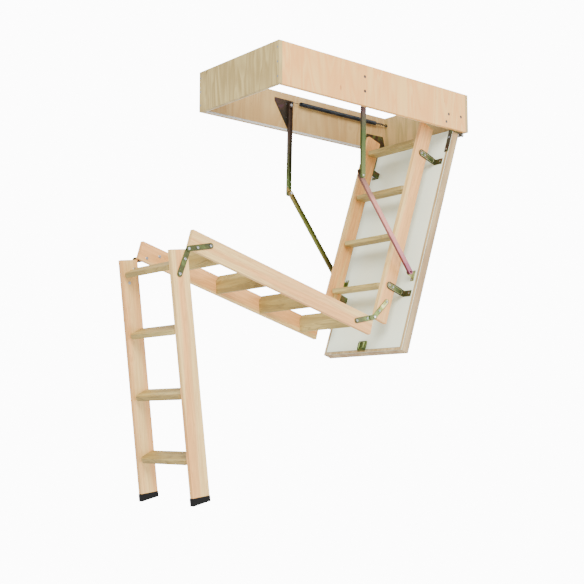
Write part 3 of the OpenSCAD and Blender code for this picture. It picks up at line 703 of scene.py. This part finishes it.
def finish_section(section, turn, seed, leaf_material):
    """Stiles, treads and leaves of one ladder section, each board with its own grain."""
    for number, (side, _) in enumerate(SIDES):
        name = f"{section}_stile_{side}"
        grain = wood("pine_" + name, turn, (seed + 1.7 * number, 0.37 * number, 0.05 * seed),
            PINE_LIGHT, PINE_PINK, PINE_LINE)
        finish_node(name, grain, STILE_EDGE, 3)
    for number in range(1, TREADS + 1):
        name = f"{section}_tread_{number}"
        grain = wood("pine_" + name, turn, (seed * 0.7 + number, 0.6 * number, 0.3 * number),
            TREAD_LIGHT, TREAD_DARK, TREAD_LINE, along="Y", rings=0.5)
        finish_node(name, grain, TREAD_EDGE, 3)
    finish_node(section + "_leaves", leaf_material, SHEET_EDGE)


def finish_ladder():
    finish_section("upper", UPPER_TURN, 0.3, pale_leaf)
    finish_section("middle", MIDDLE_TURN, 2.1, leaf_plate)
    finish_section("lower", LOWER_TURN, 4.6, leaf_plate)
    finish_node("foot_caps", black_plastic(), CASE_EDGE, 3)
    finish_node("upper_fold_rivets", steel, RIVET_EDGE)
    finish_node("lower_fold_rivets", steel, RIVET_EDGE)


def finish_arms():
    """Each arm has its own run of film colours from its upper to its lower end."""
    looks = {
        "upper_arm_front": [(0.05, BROWN), (0.32, PLUM), (0.58, FERN), (0.92, SAGE)],
        "upper_arm_back": [(0.10, BROWN), (0.40, TAUPE), (0.65, OLIVE), (0.90, GREEN)],
        "lower_arm_front": [(0.02, BROWN), (0.25, CORAL), (0.55, PINK), (0.90, MAGENTA)],
        "lower_arm_back": [(0.05, GOLD), (0.35, LIME), (0.72, YELLOW_GREEN), (0.95, BROWN)],
    }
    for number, (name, stops) in enumerate(looks.items()):
        low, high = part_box(name)
        film = chromate("chromate_" + name, (number * 1.3, 0, 0), stops, 0.36, 9.0, (high.z, low.z))
        finish_node(name, film, SHEET_EDGE)
    finish_node("arm_pivot_pins", steel, PIN_EDGE)
    finish_node("elbow_pins", steel, PIN_EDGE)


# ---------- fasteners ----------

def dome_head(mesh, place, radius, height):
    """A domed head with a washer flange and a hollow drive recess, in shares of its radius and height."""
    outline = [(0, -height), (radius * 0.9, -height), (radius, 0), (radius * 0.98, height * 0.25)]
    for i in range(1, 6):
        a = math.radians(15 * i)
        outline.append((radius * 0.78 * math.cos(a) + radius * 0.12, height * (0.3 + 0.7 * math.sin(a))))
    outline.append((radius * 0.36, height * 0.98))
    outline.append((radius * 0.30, height * 0.35))
    outline.append((0, height * 0.30))
    lathe(mesh, outline, place)


# ---------- springs ----------

def coil_path(x0, x1, y, z, radius, pitch, steps):
    """Centre line of a helix along X."""
    turns = int((x1 - x0) / pitch)
    path = []
    for k in range(turns * steps + 1):
        a = 2 * math.pi * k / steps
        x = x0 + (x1 - x0) * k / (turns * steps)
        path.append(Vector((x, y + radius * math.cos(a), z + radius * math.sin(a))))
    return path


def spring(side_name, side):
    """Close-wound tension spring: a hook at the lever, tapered ends and a twisted link at the eye."""
    low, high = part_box("spring_" + side_name)
    y = (low.y + high.y) / 2
    z = (low.z + high.z) / 2
    radius = (high.z - low.z) / 2
    coil_x0 = low.x + HOOK_LENGTH
    coil_x1 = coil_x0 + COIL_LENGTH
    end_x = high.x - SPRING_END
    mean = radius - WIRE_R
    clear_y = y + side * HOOK_OFFSET
    path = [Vector((low.x + SPRING_END, clear_y, z)), Vector((coil_x0 - COIL_LEAD, clear_y, z))]
    for k in range(TAPER_STEPS):
        grow = k / TAPER_STEPS
        a = 2 * math.pi * k / TAPER_STEPS
        x = coil_x0 + TAPER_IN * grow
        path.append(Vector((x, y + mean * grow * math.cos(a), z + mean * grow * math.sin(a))))
    path += coil_path(coil_x0 + COIL_START, coil_x1 - COIL_LEAD, y, z, mean, 2 * WIRE_R + COIL_GAP, COIL_STEPS)
    for k in range(1, TAPER_STEPS):
        fade = 1 - k / TAPER_STEPS
        a = 2 * math.pi * k / TAPER_STEPS
        x = coil_x1 + TAPER_OUT * (1 - fade)
        path.append(Vector((x, y + mean * fade * math.cos(a), z + mean * fade * math.sin(a))))
    path.append(Vector((coil_x1 + CORE_START, y, z)))
    path.append(Vector((end_x, y, z)))
    mesh = bmesh.new()
    tube(mesh, path, WIRE_R, 6)
    for phase in (0, math.pi):
        twist = []
        for k in range(LINK_STEPS + 1):
            a = phase + 2 * math.pi * LINK_TURNS * k / LINK_STEPS
            x = coil_x1 + LINK_START + (end_x - coil_x1 - LINK_SHORTER) * k / LINK_STEPS
            swell = LINK_SWELL * math.sin(math.pi * k / LINK_STEPS) + LINK_ROOT
            twist.append(Vector((x, y + swell * math.cos(a), z + swell * math.sin(a))))
        tube(mesh, twist, LINK_WIRE_R, 6)
    piece = keep_mesh("coil_spring_" + side_name, mesh, "casing", dark_steel, smooth=True)
    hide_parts("spring_" + side_name)
    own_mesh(piece)
    return piece


# ---------- hatch and ladder fittings ----------

def on_hatch(x, y, z):
    """A point given in the closed hatch's frame, from the middle of its hinge axis."""
    return turn_y(-OPEN_ANGLE) @ Vector((x, y, z)) + joint_origin("hatch_turn")


def add_slab(mesh, low, high, chamfer):
    """A flat bar with chamfered upper edges, between two corners in the closed hatch's frame."""
    (x0, y0, z0), (x1, y1, z1) = low, high
    levels = ((0, z0), (0, z1 - chamfer), (chamfer, z1))
    rings = []
    for inset, z in levels:
        near, far = (x0 + inset, x1 - inset)
        right, left = (y0 + inset, y1 - inset)
        corners = ((near, right), (far, right), (far, left), (near, left))
        rings.append([mesh.verts.new(on_hatch(x, y, z)) for x, y in corners])
    mesh.faces.new(list(reversed(rings[0])))
    mesh.faces.new(rings[-1])
    for below, above in zip(rings, rings[1:]):
        for i in range(4):
            j = (i + 1) % 4
            mesh.faces.new((below[i], below[j], above[j], above[i]))


def leaf_nuts(section, fold, body, way, edge, turn, pivot):
    """Round nuts of the leaf bolts, let into the inner faces of both stiles.
    way is 1 for leaves that run up the section from the fold and -1 for those that run down it.
    edge is 1 for a fold at the front edge of the stiles and -1 for one at the back edge."""
    mesh = bmesh.new()
    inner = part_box(f"{section}_stile_back")[0].y
    for _, side in SIDES:
        for d in LEAF_BOLTS:
            local = Vector((way * d * math.cos(math.radians(LEAF_ANGLE)), 0,
                -edge * d * math.sin(math.radians(LEAF_ANGLE))))
            spot = turn_y(-turn) @ local + pivot
            lathe(mesh, NUT_OUTLINE, outward(Vector((spot.x, side * inner, spot.z)), -side))
    keep_mesh(f"{section}_leaf_nuts_fold_{fold}", mesh, body, steel)


def pill_path(length, width):
    """Outline of a plate with two round ends, along +X in the XZ plane, its near end at the origin."""
    path = []
    for k in range(ROUND_STEPS + 1):
        a = math.radians(90 + 180 * k / ROUND_STEPS)
        path.append(Vector((width / 2 * math.cos(a), 0, width / 2 * math.sin(a))))
    for k in range(ROUND_STEPS + 1):
        a = math.radians(-90 + 180 * k / ROUND_STEPS)
        path.append(Vector((length + width / 2 * math.cos(a), 0, width / 2 * math.sin(a))))
    return path


def leaf_rims(name, body, face, way, edge, turn, pivot):
    """Dark raised border of a pair of fold leaves, and a domed head with a recess on each bolt."""
    rims = bmesh.new()
    heads = bmesh.new()
    length = LEAF_REACH - LEAF_W / 2 - LEAF_RIM_START
    start = Vector((LEAF_RIM_START, 0, 0))
    half = Vector((0, 0, LEAF_W / 2 - LEAF_RIM_INSET))
    far_end = pill_path(length, LEAF_W - 2 * LEAF_RIM_INSET)[ROUND_STEPS + 1:]
    outline = [start - half] + [v + start for v in far_end] + [start + half]
    aim = turn_y(-turn) @ turn_y(edge * LEAF_ANGLE if way > 0 else 180 - edge * LEAF_ANGLE)
    for _, side in SIDES:
        shift = Matrix.Translation(pivot + Vector((0, side * face, 0)))
        tube(rims, [shift @ aim @ v for v in outline], LEAF_RIM_R, 6, closed=True)
        for d in LEAF_BOLTS:
            spot = shift @ aim @ Vector((d, 0, 0)) + Vector((0, side * LEAF_HEAD_LIFT, 0))
            dome_head(heads, outward(spot, side), LEAF_HEAD_R, LEAF_HEAD_H)
    keep_mesh("leaf_rims_" + name, rims, body, rim_plate, smooth=True)
    keep_mesh("leaf_bolt_heads_" + name, heads, body, steel, smooth=True)


def stile_bracket_rims():
    """Dark rolled rim round each stile bracket, a bright pressed bead inside it and domed screws."""
    pivot = joint_origin("hatch_turn")
    rims = bmesh.new()
    beads = bmesh.new()
    heads = bmesh.new()
    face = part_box("upper_stile_back")[1].y + SHEET
    rings = ((rims, BRACKET_W, BRACKET_RIM_R), (beads, BRACKET_W - BRACKET_BEAD_INSET, BRACKET_BEAD_R))
    for centre in solid_centres("stile_brackets"):
        x = (turn_y(OPEN_ANGLE) @ (centre - pivot)).x
        side = 1 if centre.y > 0 else -1
        for mesh, width, radius in rings:
            outline = pill_path(BRACKET_TOP - BRACKET_FOOT, width)
            path = [on_hatch(x - v.z, side * face, BRACKET_FOOT + v.x) for v in outline]
            tube(mesh, path, radius, 8, closed=True)
        for height in BRACKET_SCREWS:
            spot = on_hatch(x, side * (face + BRACKET_HEAD_LIFT), height)
            dome_head(heads, outward(spot, side), BRACKET_HEAD_R, BRACKET_HEAD_H)
    keep_mesh("stile_bracket_rims", rims, "hatch", rim_plate, smooth=True)
    keep_mesh("stile_bracket_beads", beads, "hatch", bracket_rim, smooth=True)
    keep_mesh("stile_bracket_screws", heads, "hatch", steel, smooth=True)


def latch_lugs():
    """Two bent lugs and a pressed plate edge on the latch case."""
    mesh = bmesh.new()
    for y in LUG_STARTS:
        low = (LATCH_X - LUG_BACK, y, HATCH_INNER + LUG_BASE)
        high = (LATCH_X + LUG_FRONT, y + LUG_W, HATCH_INNER + LUG_TOP)
        add_slab(mesh, low, high, LUG_CHAMFER)
    z = HATCH_INNER + LATCH_EDGE_LIFT
    for y in (-LATCH_EDGE_Y, LATCH_EDGE_Y):
        ends = (LATCH_X - LATCH_EDGE_BACK, LATCH_X + LATCH_EDGE_FRONT)
        tube(mesh, [on_hatch(x, y, z) for x in ends], LATCH_EDGE_R, 6)
    keep_mesh("latch_lugs", mesh, "hatch", latch_plate)


def hatch_border():
    """Wood edging round the inner face, with a dark joint line beside it and along the hatch's edges."""
    half = HATCH_HALF_W
    width = EDGING_W
    base = HATCH_INNER - EDGING_SINK
    top = HATCH_INNER + EDGING_T
    edging = bmesh.new()
    for y in (-half, half - width):
        add_slab(edging, (HATCH_FAR, y, base), (HATCH_NEAR, y + width, top), EDGING_CHAMFER)
    add_slab(edging, (HATCH_FAR, -half + width, base), (HATCH_FAR + width, half - width, top), EDGING_CHAMFER)
    grain = wood("hatch_edging_pine", OPEN_ANGLE, (2.4, 0.9, 0.3), RIM_EDGE, RIM_LIGHT, TREAD_LINE)
    keep_mesh("hatch_edging", edging, "hatch", grain)
    lines = bmesh.new()
    inside = half - width - JOINT_LINE_R
    face = HATCH_INNER + JOINT_LINE_LIFT
    levels = (HATCH_INNER - HATCH_SKIN, HATCH_OUTER + HATCH_SKIN)
    for side in (-1, 1):
        y = side * inside
        tube(lines, [on_hatch(x, y, face) for x in (HATCH_FAR + width, HATCH_NEAR)], JOINT_LINE_R, 6)
        for z in levels:
            y = side * half
            tube(lines, [on_hatch(x, y, z) for x in (HATCH_FAR, HATCH_NEAR)], JOINT_LINE_R, 6)
    x = HATCH_FAR + width + JOINT_LINE_R
    tube(lines, [on_hatch(x, y, face) for y in (-inside, inside)], JOINT_LINE_R, 6)
    for z in levels:
        tube(lines, [on_hatch(HATCH_FAR, y, z) for y in (-half, half)], JOINT_LINE_R, 6)
    shade = wood("joint_line_shade", OPEN_ANGLE, (0, 0, 0), JOINT_LIGHT, JOINT_DARK, JOINT_LINE)
    keep_mesh("hatch_joint_lines", lines, "hatch", shade, smooth=True)


def fold_fittings():
    """Nuts, rims and bolt heads of the four pairs of leaves."""
    fold_1 = joint_origin("upper_fold_turn")
    fold_2 = joint_origin("lower_fold_turn")
    leaf_nuts("upper", 1, "hatch", 1, 1, UPPER_TURN, fold_1)
    leaf_nuts("middle", 1, "middle_section", -1, 1, MIDDLE_TURN, fold_1)
    leaf_nuts("middle", 2, "middle_section", 1, -1, MIDDLE_TURN, fold_2)
    leaf_nuts("lower", 2, "lower_section", -1, -1, LOWER_TURN, fold_2)
    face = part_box("upper_stile_back")[1].y + SHEET
    leaf_rims("upper", "hatch", face, 1, 1, UPPER_TURN, fold_1)
    leaf_rims("middle_1", "middle_section", face, -1, 1, MIDDLE_TURN, fold_1)
    leaf_rims("middle_2", "middle_section", face, 1, -1, MIDDLE_TURN, fold_2)
    leaf_rims("lower", "lower_section", face, -1, -1, LOWER_TURN, fold_2)


# ---------- stage ----------

def place_stage():
    low, high = cad_box
    material = Shader("studio_floor", roughness=0.8)
    cloud = material.noise(material.coords(), 0.6, 2.0, 0.5)
    material.colour(material.ramp(cloud, [(0.3, (0.94, 0.94, 0.93)), (0.7, (0.96, 0.96, 0.95))]))
    bpy.ops.mesh.primitive_circle_add(vertices=96, radius=FLOOR_RADIUS, fill_type="NGON",
        location=((low[0] + high[0]) / 2, 0, low[2] - FLOOR_DROP))
    floor = bpy.context.object
    floor.name = "studio_floor"
    floor.data.materials.append(material.material)


def place_light(name, location, target, size, power):
    light = bpy.data.lights.new(name, "AREA")
    light.shape = "DISK"
    light.size = size
    light.energy = power
    lamp = bpy.data.objects.new(name, light)
    lamp.location = location
    lamp.rotation_euler = (Vector(target) - Vector(location)).to_track_quat("-Z", "Y").to_euler()
    bpy.context.scene.collection.objects.link(lamp)


def place_lights():
    """A white world, brighter where the camera sees it directly, and two soft lamps."""
    world = bpy.data.worlds.new("studio_world")
    world.use_nodes = True
    tree = world.node_tree
    glow = tree.nodes["Background"]
    glow.inputs["Color"].default_value = (1, 1, 1, 1)
    glow.inputs["Strength"].default_value = WORLD_GLOW
    backdrop = tree.nodes.new("ShaderNodeBackground")
    backdrop.inputs["Color"].default_value = (1, 1, 1, 1)
    backdrop.inputs["Strength"].default_value = BACKDROP_GLOW
    path = tree.nodes.new("ShaderNodeLightPath")
    choice = tree.nodes.new("ShaderNodeMixShader")
    tree.links.new(path.outputs["Is Camera Ray"], choice.inputs["Fac"])
    tree.links.new(glow.outputs["Background"], choice.inputs[1])
    tree.links.new(backdrop.outputs["Background"], choice.inputs[2])
    tree.links.new(choice.outputs["Shader"], tree.nodes["World Output"].inputs["Surface"])
    bpy.context.scene.world = world
    middle = (-0.2, 0, -0.7)
    place_light("key", (-3.5, -4.2, 2.2), middle, size=3.0, power=520)
    place_light("fill", (3.4, -3.6, -0.6), middle, size=3.0, power=190)


def place_camera():
    """Eye level below the casing, turned to the corner of the free end and the front side."""
    camera = bpy.data.cameras.new("camera")
    camera.lens = LENS
    camera.sensor_width = SENSOR_W
    eye = bpy.data.objects.new("camera", camera)
    eye.location = EYE
    eye.rotation_euler = (math.radians(EYE_TILT), 0, math.radians(EYE_HEADING))
    bpy.context.scene.collection.objects.link(eye)
    bpy.context.scene.camera = eye


# ---------- build ----------

finish_casing()
finish_hatch()
finish_ladder()
finish_arms()
# The plate bolts take the darker zinc tones
darker_zinc = bright_zinc("darker_zinc_plating", DARKER_ZINC_DARK, DARKER_ZINC_LIGHT)
finish_node("plate_bolts", darker_zinc, SCREW_EDGE)
finish_node("spring_eyes", dark_steel, SCREW_EDGE)
for node in ("corner_screws", "hatch_screws", "middle_bolts", "lower_bolts"):
    finish_node(node, steel, SCREW_EDGE)
for side_name, side in SIDES:
    spring(side_name, side)
fold_fittings()
hatch_border()
seal_lips()
latch_lugs()
stile_bracket_rims()
place_camera()
place_lights()
place_stage()
